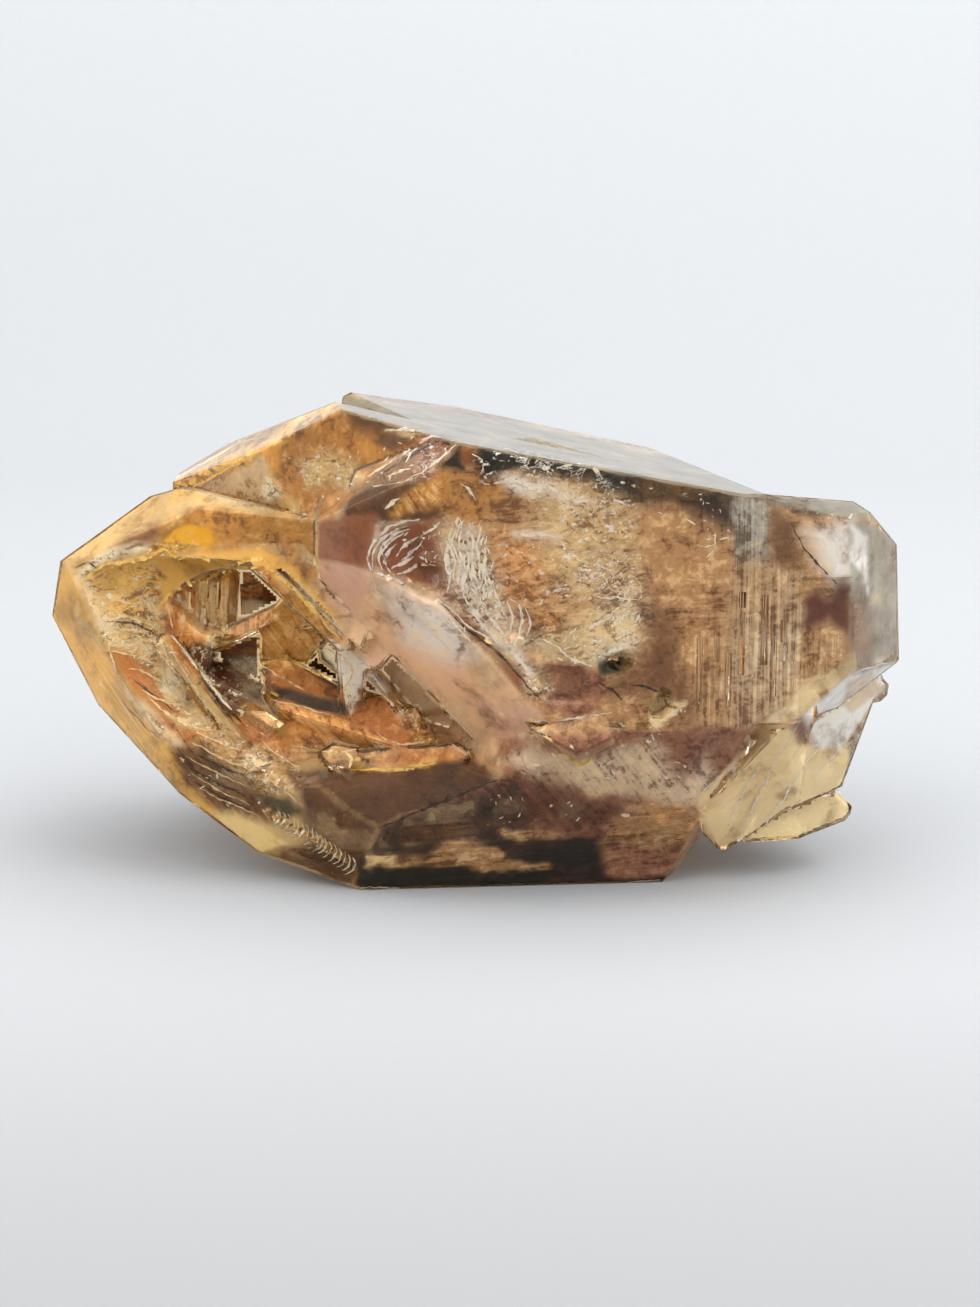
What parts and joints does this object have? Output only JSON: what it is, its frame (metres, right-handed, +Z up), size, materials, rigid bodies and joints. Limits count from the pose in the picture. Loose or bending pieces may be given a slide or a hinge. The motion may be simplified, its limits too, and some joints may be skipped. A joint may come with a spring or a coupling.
{
  "type": "elestial smoky quartz cluster",
  "caption": "Hand-sized cluster of intergrown smoky quartz crystals with flat faces, a skeletal hollow in its left end and stepped growth behind.",
  "frame": {"origin": "on the surface that the cluster rests on, under the middle of its outline", "axes": "+X along the cluster's length towards its clear flat-ended crystal, -Y towards its best side with the hollow, +Z up"},
  "size_m": [0.1158, 0.0598, 0.0642],
  "materials": {
    "smoky_quartz": "clear with natural crystal faces, smoky brown to golden"
  },
  "bodies": {
    "root": {"quartz_cluster": "smoky_quartz"}
  },
  "joints": []
}
